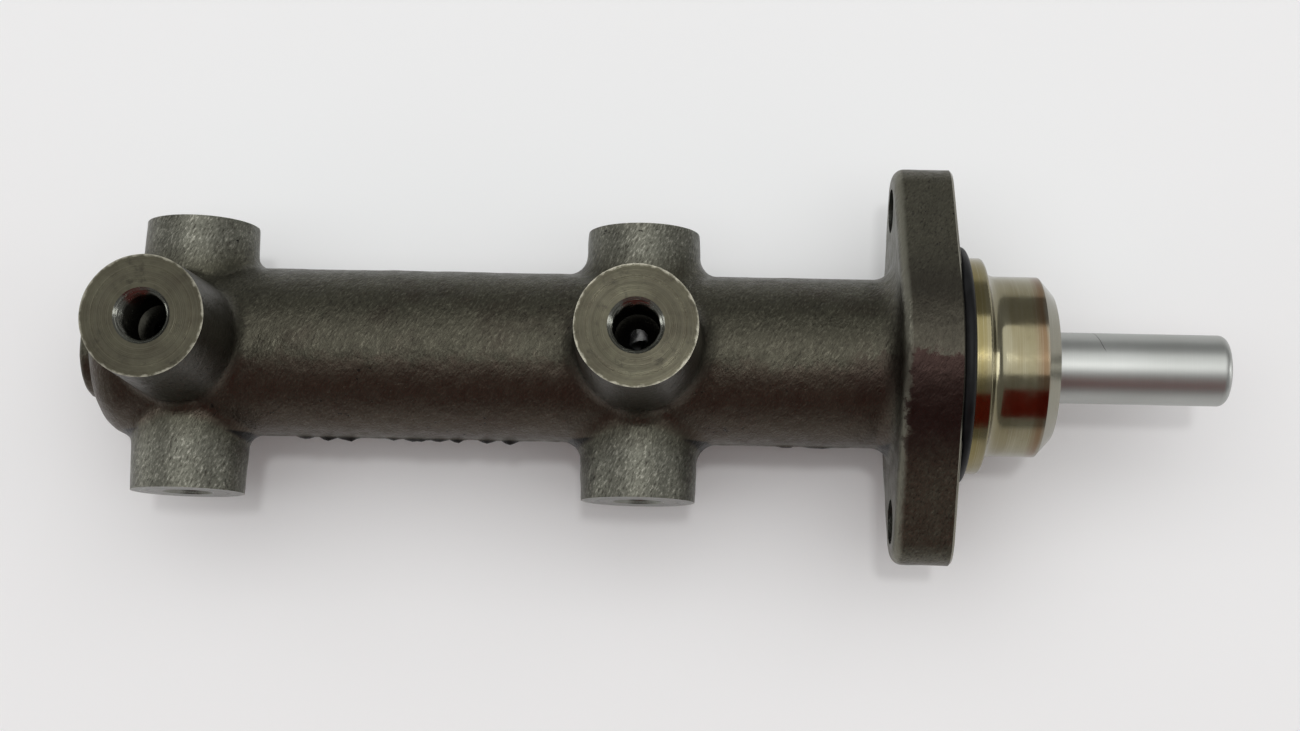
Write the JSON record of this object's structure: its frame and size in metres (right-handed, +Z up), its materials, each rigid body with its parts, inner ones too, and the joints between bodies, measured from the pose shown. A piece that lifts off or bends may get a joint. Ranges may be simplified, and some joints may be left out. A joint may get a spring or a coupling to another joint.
{
  "type": "tandem brake master cylinder",
  "caption": "Cast iron tandem brake master cylinder with a stud flange, threaded pipe ports, reservoir inlets and a sliding aluminium rod.",
  "frame": {"origin": "where the bore's axis crosses the flange's mounting face", "axes": "+X along the bore towards the rod and the servo, +Z up as the part stands on its two reservoir inlets, Y along the flange's stud line"},
  "size_m": [0.2308, 0.0812, 0.0667],
  "materials": {
    "cast_iron": "as cast, dark, with machined port faces",
    "passivated_steel": "turned and yellow passivated",
    "turned_aluminium": "satin anodised",
    "black_rubber": "matt",
    "nylon": "natural",
    "plain_steel": "bright",
    "spring_steel": "oiled",
    "copper": "soft copper"
  },
  "bodies": {
    "cylinder": {"cylinder_body": "cast_iron", "guide_sleeve": "passivated_steel", "mounting_o_ring": "black_rubber", "stop_plate": "plain_steel", "rod_seal": "black_rubber", "rod_guide_bush": "nylon", "vacuum_seal": "black_rubber", "snap_ring": "spring_steel", "stop_screw": "plain_steel", "stop_screw_washer": "copper", "inlet_grommet_rear": "black_rubber", "inlet_grommet_front": "black_rubber"},
    "primary": {"primary_piston": "turned_aluminium", "primary_cup_washer": "plain_steel", "primary_cup": "black_rubber", "primary_support_ring": "nylon", "primary_spring_seat": "plain_steel", "stroke_screw": "plain_steel", "primary_spring": "spring_steel"},
    "secondary": {"spring_retainer": "plain_steel", "secondary_piston": "turned_aluminium", "separating_cup_rear": "black_rubber", "separating_cup_front": "black_rubber", "secondary_cup_washer": "plain_steel", "secondary_cup": "black_rubber", "secondary_support_ring": "nylon", "secondary_spring_seat": "plain_steel", "secondary_spring": "spring_steel"}
  },
  "joints": [
    {"name": "primary_slide", "type": "slide", "parent": "cylinder", "child": "primary", "axis": [-1, 0, 0], "range_m": [0, 0.022], "deforming": ["primary_spring"]},
    {"name": "secondary_slide", "type": "slide", "parent": "cylinder", "child": "secondary", "axis": [-1, 0, 0], "range_m": [0, 0.011], "deforming": ["secondary_spring"]}
  ],
  "couplings": [
    {"joint": "secondary_slide", "follows": "primary_slide", "ratio": 0.5}
  ]
}
